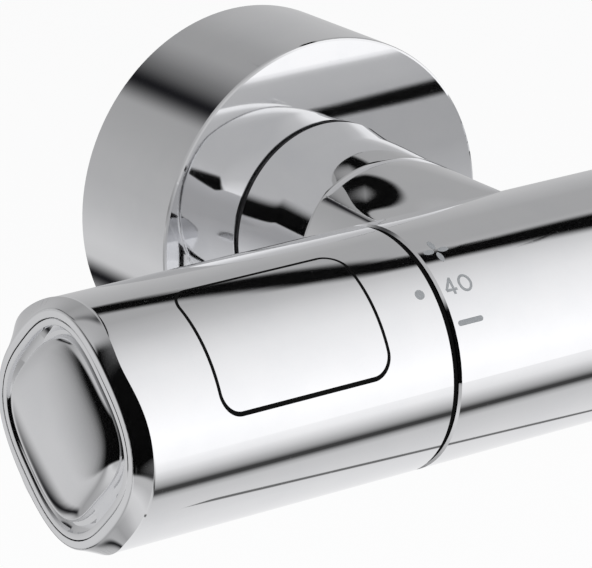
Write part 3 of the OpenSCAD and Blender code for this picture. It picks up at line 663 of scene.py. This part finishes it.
def print_mark(name, side, strokes, body):
    """One printed mark: each stroke is a band of points wrapped on the bar and given a thin edge."""
    points, faces = [], []
    for path, width in strokes:
        left, right = ribbon(path, width)
        rows = [left, 0.5 * (left + right), right]
        upper = np.stack([wrap_on_bar(side, row) for row in rows], 1)
        lower = np.stack([wrap_on_bar(side, row, INK_FOOT) for row in rows], 1)
        loop = np.concatenate([upper, lower[:, ::-1]], 1)
        start = sum(len(p) for p in points)
        n, m = loop.shape[:2]
        points.append(loop.reshape(-1, 3))
        faces += grid_faces(n, m, wrap_cols=True, start=start).tolist()
        faces += [list(range(start, start + m)), list(range(start + (n - 1) * m, start + n * m))]
    make_piece(name, np.concatenate(points), faces, grey_ink, body, 60)


def arc(centre, rx, ry, start, end, count=40):
    """Points of an ellipse's arc between two angles in degrees."""
    t = np.radians(np.linspace(start, end, count))
    return np.stack([centre[0] + rx * np.cos(t), centre[1] + ry * np.sin(t)], 1)


def straight(first, last, count=12):
    """Points of a straight stroke."""
    q = np.linspace(0, 1, count)[:, None]
    return np.asarray(first, float) * (1 - q) + np.asarray(last, float) * q


def print_dot(name, side, centre, r, body):
    """Printed dot: rings of points from its centre to its edge, wrapped on the bar."""
    turns = np.radians(np.linspace(0, 360, 48, endpoint=False))
    middle = np.array(centre, float)
    rim = r * np.stack([np.cos(turns), np.sin(turns)], 1)
    layers = [wrap_on_bar(side, middle + q * rim) for q in (0.4, 0.8, 1.0)]
    layers.append(wrap_on_bar(side, middle + rim, INK_FOOT))
    points, faces = stack_rings(layers, wrap_on_bar(side, middle), wrap_on_bar(side, middle, INK_FOOT))
    make_piece(name, points, faces, grey_ink, body, 60)


FOUR = [
    (straight((2.75, 0.0), (2.75, 2.8)), INK_W),
    (straight((2.80, 2.75), (1.55, 0.85)), INK_W),
    (straight((1.50, 0.78), (3.35, 0.78)), INK_W),
]
ZERO = [(arc((4.95, 1.4), 0.92, 1.25, 0, 360, 60), INK_W)]
NUMBER_SIZE = (1.24, 1.14)
NUMBER_SHIFT = (0.04, -1.8)


def round_ended(length, width, count):
    """Width of a straight stroke at each of its points, with a half circle at both ends."""
    past = np.clip(np.abs(np.linspace(-length / 2, length / 2, count)) - (length - width) / 2, 0, None)
    return (width * np.sqrt(np.clip(1 - (2 * past / width) ** 2, 0.02, 1)))[:, None]


def dash_stroke(start, length, height):
    """Round-ended stroke along the bar, a millimetre wide."""
    return straight((start, height), (start + length, height), 40), round_ended(length, 1.0, 40)


STAR = (4.55, 7.35)
PETAL = (0.4, 2.6)
PETAL_WIDTH = (1.1 * np.sqrt(np.clip(1 - np.linspace(-1, 1, 16) ** 2, 0.03, 1)))[:, None]


def petal(angle):
    """One petal of the star: a stroke from its foot to its tip, with the width of an ellipse."""
    t = math.radians(angle)
    ends = [(STAR[0] + r * math.cos(t), STAR[1] + r * math.sin(t)) for r in PETAL]
    return straight(*ends, 16), PETAL_WIDTH


number_strokes = [(path * NUMBER_SIZE + NUMBER_SHIFT, width) for path, width in FOUR + ZERO]
print_mark("mark_number", -1, number_strokes, "valve")
print_mark("mark_dash", -1, [dash_stroke(1.85, 5.3, -6.95)], "valve")
print_mark("mark_star", -1, [petal(angle) for angle in (0, 90, 180, 270)], "valve")
print_dot("mark_dot", -1, (-3.6, -0.4), 0.93, "temp_knob")
print_dot("flow_mark_dot", 1, (-3.6, 0.0), 0.93, "flow_knob")
print_mark("flow_mark_dash", 1, [dash_stroke(1.85, 4.4, 0.0)], "valve")


# Threads

def thread_skin(r, low, high, pitch, depth, count=64):
    """Round skin whose radius falls by depth in a rounded groove that climbs pitch a turn."""
    rows = int((high - low) / pitch * 10) + 1
    z = np.linspace(low, high, rows)[:, None]
    t = np.linspace(0, 2 * np.pi, count, endpoint=False)[None, :]
    wave = 0.5 - 0.5 * np.cos(2 * np.pi * (z / pitch) - t)
    ease = np.clip(np.minimum(z - low, high - z) / pitch, 0, 1)
    radius = r - depth * (wave * ease + (1 - ease))
    return radius, t, z


def threaded_tube(radius, t, z, bore, place):
    """Closed tube: the threaded skin outside, a plain bore inside, flat ends."""
    def ring(r, h):
        return place(r * np.cos(t[0]), r * np.sin(t[0]), np.full(t.shape[1], h))

    rings = [ring(r, h) for r, h in zip(radius, z[:, 0])] + [ring(bore, z[-1, 0]), ring(bore, z[0, 0])]
    return np.concatenate(rings), grid_faces(len(rings), t.shape[1], wrap_rows=True, wrap_cols=True)


def revolved(profile, place, count=96):
    """Closed skin of revolution through a closed loop of [radius, height]."""
    t = np.linspace(0, 2 * np.pi, count, endpoint=False)
    rings = [place(r * np.cos(t), r * np.sin(t), np.full(count, h)) for r, h in profile]
    return np.concatenate(rings), grid_faces(len(rings), count, wrap_rows=True, wrap_cols=True)


def joined(parts):
    """Several skins as one list of points and faces."""
    points, faces, start = [], [], 0
    for p, f in parts:
        points.append(p)
        faces += (np.asarray(f) + start).tolist()
        start += len(p)
    return np.concatenate(points), faces


HALF_INCH_R = 10.478
HALF_INCH_PITCH = 1.814
HALF_INCH_DEPTH = 1.05
OUTLET_X = 50.2
OUTLET_BORE = 6.2
BOSS_FACE = -27.0
FLANGE_R = 12.6
FLANGE_T = 2.0
FLANGE_EDGE = 0.3
NECK_TOP = 6.4
NECK_IN_BOSS = 9.5
TAIL_LENGTH = 11.0
CONNECTOR_RISE = 8.0
CONNECTOR_BORE = 7.5
TAIL_START = -13.0
TAIL_END = 14.0


def outlet_place(a, b, h):
    """Row position of a point in the outlet's frame, with h up from the bar's axis."""
    return np.stack([OUTLET_X + a, -AXIS_OUT + b, -AXIS_DROP + h], -1) * MM


def outlet_piece():
    """Outlet nipple: flange against the boss, threaded tail for the hose nut. The flange is a turned profile
    and the tail a thread_skin."""
    neck_top = BOSS_FACE + NECK_TOP
    seat, under = BOSS_FACE - 0.05, BOSS_FACE - FLANGE_T
    edge_r = FLANGE_R - FLANGE_EDGE
    flange = [(OUTLET_BORE, neck_top), (NECK_IN_BOSS, neck_top), (NECK_IN_BOSS, seat), (edge_r, seat),
              (FLANGE_R, seat - FLANGE_EDGE), (FLANGE_R, under + FLANGE_EDGE), (edge_r, under),
              (OUTLET_BORE, under)]
    skin = thread_skin(HALF_INCH_R, BOSS_FACE - TAIL_LENGTH, under + 0.1, HALF_INCH_PITCH, HALF_INCH_DEPTH)
    points, faces = joined([revolved(flange, outlet_place), threaded_tube(*skin, OUTLET_BORE, outlet_place)])
    piece = make_piece("outlet_tail", points, faces, body_chrome, "valve", 50)
    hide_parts("outlet_nipple")


def union_piece(prefix, side):
    """Offset wall connector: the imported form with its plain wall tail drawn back, and a threaded tail that
    is a thread_skin."""
    def tail_place(a, b, h):
        return np.stack([side * UNION_X + a, h, b + CONNECTOR_RISE], -1) * MM

    mesh = nodes[prefix + "_s_union"].data
    points = np.empty(len(mesh.vertices) * 3)
    mesh.vertices.foreach_get("co", points)
    points = points.reshape(-1, 3)
    points[:, 1] = np.minimum(points[:, 1], (TAIL_START + 0.1) * MM)
    faces = [list(face.vertices) for face in mesh.polygons]
    skin = thread_skin(HALF_INCH_R, TAIL_START, TAIL_END, HALF_INCH_PITCH, HALF_INCH_DEPTH)
    thread_points, thread_faces = threaded_tube(*skin, CONNECTOR_BORE, tail_place)
    faces += (thread_faces + len(points)).tolist()
    points = np.concatenate([points, thread_points])
    piece = make_piece(prefix + "_wall_connector", points, faces, wall_brass, "valve", 50)
    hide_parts(prefix + "_s_union")


outlet_piece()
union_piece("hot", -1)
union_piece("cold", 1)


# Studio

def stops_of(levels):
    """Colour stops of a ring of light from (angle round the bar, level)."""
    return [((angle + 180.0) / 360.0, (level, level, level * 1.01, 1.0)) for angle, level in levels]


RIGHT_ROOM = stops_of([
    (-180, 0.52), (-159, 0.58), (-151, 0.90), (-130, 0.84), (-100, 0.77), (-75, 0.66), (-63, 0.60),
    (-59, 0.42), (-55, 0.05), (-52, 0.05), (-47, 0.38), (-40, 0.66), (-33, 0.91), (-24, 1.08), (-5, 1.15),
    (8, 1.10), (26, 1.02), (45, 0.93), (57, 0.87), (70, 0.77), (80, 0.68), (92, 0.55), (112, 0.40),
    (140, 0.40), (150, 0.44), (168, 0.50), (180, 0.53),
])
LEFT_ROOM = stops_of([
    (-180, 0.47), (-168, 0.52), (-154, 0.64), (-132, 0.55), (-110, 0.36), (-95, 0.45), (-78, 0.64),
    (-61, 0.70), (-45, 0.50), (-25, 0.50), (0, 0.55), (25, 0.60), (60, 0.58), (90, 0.50), (110, 0.42),
    (136, 0.33), (150, 0.38), (168, 0.45), (180, 0.47),
])
INNER_ROOM = stops_of([
    (-180, 0.52), (-120, 0.72), (-60, 0.72), (-35, 0.95), (-10, 1.05), (8, 0.95), (17, 0.62), (28, 0.54),
    (60, 0.52), (100, 0.45), (150, 0.45), (180, 0.52),
])
PANEL_TILT = 0.87
PANEL_OFFSET = 1.247


def studio_world():
    """White to the camera. Metal sees a lit room: rings of light round the bar's axis, bright in front and
    below and grey above and behind, greyer on the left, with dark gaps between the light panels behind.
    After two reflections it sees a third, plainer room."""
    world = bpy.data.worlds.new("studio")
    bpy.context.scene.world = world
    world.use_nodes = True
    world.node_tree.nodes.clear()
    f = Finish(world.node_tree)
    x, y, z = f.split(f.add("ShaderNodeTexCoord", output="Generated"))
    turn = (z.math("ARCTAN2", y * -1.0) * (180 / math.pi) + 180.0) / 360.0
    right = f.add("ShaderNodeValToRGB", {"stops": RIGHT_ROOM}, {"Fac": turn})
    left = f.add("ShaderNodeValToRGB", {"stops": LEFT_ROOM}, {"Fac": turn})
    room = f.mix(x.rise(0.22, 0.50), left, right)
    upper_gap = (z + y * PANEL_TILT - PANEL_OFFSET).bump_at(0.0, 0.09)
    lower_gap = (z - y * PANEL_TILT + PANEL_OFFSET).bump_at(0.0, 0.08)
    dark = upper_gap.math("MAXIMUM", lower_gap) * x.rise(0.12, -0.1) * y.rise(0.35, 0.5)
    seen = f.mix(dark, room, rgb(0.012, 0.012, 0.014))
    seen_by = ("Ray Depth", "Is Camera Ray", "Is Glossy Ray")
    depth, camera, glossy = f.add("ShaderNodeLightPath", output=seen_by)
    inner = f.add("ShaderNodeValToRGB", {"stops": INNER_ROOM}, {"Fac": turn})
    seen = f.mix(depth.rise(2.2, 2.8), seen, inner)
    soft = f.mix(glossy, rgb(0.55, 0.55, 0.56), seen)
    colour = f.mix(camera, soft, rgb(1.0, 1.0, 1.0))
    shade = f.add("ShaderNodeBackground", None, {"Color": colour})
    f.add("ShaderNodeOutputWorld", None, {0: shade}, None)


def floor_paint():
    """Pale matt floor, lifted to white for the camera but keeping a trace of the object's shadow."""
    material, f = blank_material("pale_floor")
    camera = f.add("ShaderNodeLightPath", output="Is Camera Ray")
    matt = f.add("ShaderNodeBsdfDiffuse", None, {"Color": rgb(0.93, 0.93, 0.935)})
    white = f.add("ShaderNodeEmission", None, {"Color": rgb(1.0, 1.0, 1.0), "Strength": 1.0})
    mixed = f.add("ShaderNodeMixShader", None, {0: 0.88 * camera, 1: matt, 2: white})
    f.add("ShaderNodeOutputMaterial", None, {0: mixed}, None)
    return material


def stage_sheet(name, points, material, glossy_only=False):
    """A backdrop or flag from a grid of points."""
    rows, cols = points.shape[:2]
    mesh = bpy.data.meshes.new(name)
    mesh.from_pydata(points.reshape(-1, 3).tolist(), [], grid_faces(rows, cols).tolist())
    mesh.materials.append(material)
    sheet = bpy.data.objects.new(name, mesh)
    bpy.context.scene.collection.objects.link(sheet)
    if glossy_only:
        sheet.visible_camera = False
        sheet.visible_diffuse = False
        sheet.visible_shadow = False
    return sheet


def lamp(name, place, size, watts, aim):
    """Soft square lamp that shines on the object and isn't mirrored in it."""
    light = bpy.data.lights.new(name, "AREA")
    light.shape = "SQUARE"
    light.size = size
    light.energy = watts
    shown = bpy.data.objects.new(name, light)
    bpy.context.scene.collection.objects.link(shown)
    direction = np.asarray(place, float) - np.asarray(aim, float)
    shown.matrix_world = Matrix.Translation(place) @ look_rotation(direction).to_4x4()
    shown.visible_glossy = False


def look_rotation(back):
    """Rotation whose Z axis points along back, with Y upward."""
    back = np.asarray(back, float) / np.linalg.norm(back)
    right = np.cross((0, 0, 1), back)
    right /= np.linalg.norm(right)
    up = np.cross(back, right)
    return Matrix(np.stack([right, up, back], 1).tolist())


def smooth(value, low, high):
    """0 below low, 1 above high, smooth between; low may lie above high."""
    q = np.clip((value - low) / (high - low), 0, 1)
    return q * q * (3 - 2 * q)


def flag(name, points, cover):
    """Black cloth seen only in mirrors. Its cover, 0 to 1 at each point of its grid, lets it fade at its
    edges."""
    material, f = blank_material(name + "_cloth")
    factor = f.add("ShaderNodeAttribute", {"attribute_name": "cover"}, output=2)
    clear = f.add("ShaderNodeBsdfTransparent")
    cloth = f.add("ShaderNodeBsdfDiffuse", None, {"Color": rgb(0.004, 0.004, 0.004)})
    mixed = f.add("ShaderNodeMixShader", None, {0: factor, 1: clear, 2: cloth})
    f.add("ShaderNodeOutputMaterial", None, {0: mixed}, None)
    sheet = stage_sheet(name, points, material, True)
    layer = sheet.data.attributes.new("cover", "FLOAT", "POINT")
    layer.data.foreach_set("value", np.ascontiguousarray(cover, float).ravel())


SIDE_FLAG = (-0.158, -0.069, -0.008)
SIDE_FLAG_R = 0.09


def side_flag():
    """Curved black flag round the left end of the bar, on part of a sphere about it."""
    across, rise = np.meshgrid(np.linspace(-154, 6, 100), np.linspace(-34, 62, 60), indexing="ij")
    a, e = np.radians(across), np.radians(rise)
    points = np.stack([np.sin(a) * np.cos(e), -np.cos(a) * np.cos(e), np.sin(e)], -1)
    height = points[..., 2]
    sides = smooth(across, 2.5, -1.5) * smooth(across, -146, -90)
    cover = sides * smooth(height, -0.50, -0.42) * smooth(height, 0.84, 0.66)
    flag("side_flag", np.asarray(SIDE_FLAG) + SIDE_FLAG_R * points, cover)


BAR_FLAG_PATH = [(30, 199, 186), (75, 173, 194), (108, 124, 215), (138, 59, 246),
                 (163, 25, 249), (206, 17, 247), (335, -62, 248)]
BAR_FLAG_HALF = (30, 28, 25, 25, 33, 48, 54)
LOW_STRIP_PATH = [(94, -60, -250), (116, -40, -250), (204, 41, -250), (292, 122, -250)]
LOW_STRIP_HALF = (8, 8)
FLOOR_Z = -0.34


def bar_flag(name, path, half_widths, strength):
    """Long flag along a path about the bar, square to the line from the bar's axis to it. The path's points
    count from the left gap, on the bar's axis, in millimetres."""
    path = (np.array(path, float) + (-HALF_LENGTH, -AXIS_OUT, -AXIS_DROP)) * MM
    place = np.linspace(0, len(path) - 1, 60)
    middle = np.stack([np.interp(place, np.arange(len(path)), path[:, k]) for k in range(3)], -1)
    along = np.gradient(middle, axis=0)
    from_bar = middle - np.array([0, -AXIS_OUT, -AXIS_DROP]) * MM
    from_bar[:, 0] = 0
    wide = np.cross(along, from_bar)
    wide /= np.linalg.norm(wide, axis=1, keepdims=True)
    half = np.interp(place, np.linspace(0, len(path) - 1, len(half_widths)), half_widths)[:, None] * MM
    across = np.linspace(-1, 1, 25)
    points = middle[:, None] + across[None, :, None] * half[..., None] * wide[:, None]
    cover = np.broadcast_to(strength * smooth(np.abs(across), 1.0, 0.4), points.shape[:2])
    flag(name, points, cover)


studio_world()
side_flag()
bar_flag("upper_flag", BAR_FLAG_PATH, BAR_FLAG_HALF, 1.0)
bar_flag("low_strip", LOW_STRIP_PATH, LOW_STRIP_HALF, 0.8)
floor_x, floor_y = np.meshgrid([-3.0, 3.0], [-3.0, 3.0], indexing="ij")
floor = stage_sheet("floor", np.stack([floor_x, floor_y, np.full_like(floor_x, FLOOR_Z)], -1), floor_paint())
floor.visible_glossy = False
lamp("key_lamp", (-0.7, -0.9, 1.1), 0.9, 16, (0, -0.05, 0))
lamp("fill_lamp", (0.9, -0.8, 0.9), 1.0, 9, (0, -0.05, 0))


# Camera

CAMERA_PLACE = np.array([-0.51914, -0.64923, 0.25817])
CAMERA_AZIMUTH = math.radians(-35.15)
CAMERA_ELEVATION = math.radians(19.45)
CAMERA_ROLL = math.radians(-0.47)
SENSOR_MM = 36
PHOTO_WIDTH = 592
FOCAL_PIXELS = 4391.77


def photo_camera():
    """Camera fitted to the photograph's outlines."""
    data = bpy.data.cameras.new("camera")
    data.sensor_width = SENSOR_MM
    data.lens = FOCAL_PIXELS * SENSOR_MM / PHOTO_WIDTH
    data.clip_start = 0.05
    camera = bpy.data.objects.new("camera", data)
    bpy.context.scene.collection.objects.link(camera)
    back = np.array([
        math.sin(CAMERA_AZIMUTH) * math.cos(CAMERA_ELEVATION),
        -math.cos(CAMERA_AZIMUTH) * math.cos(CAMERA_ELEVATION),
        math.sin(CAMERA_ELEVATION),
    ])
    right = np.array([math.cos(CAMERA_AZIMUTH), math.sin(CAMERA_AZIMUTH), 0])
    up = np.cross(back, right)
    turned_right = math.cos(CAMERA_ROLL) * right + math.sin(CAMERA_ROLL) * up
    turned_up = -math.sin(CAMERA_ROLL) * right + math.cos(CAMERA_ROLL) * up
    rotation = Matrix(np.stack([turned_right, turned_up, back], 1).tolist())
    camera.matrix_world = Matrix.Translation(CAMERA_PLACE.tolist()) @ rotation.to_4x4()
    bpy.context.scene.camera = camera


photo_camera()
bpy.context.scene.view_settings.view_transform = "Standard"
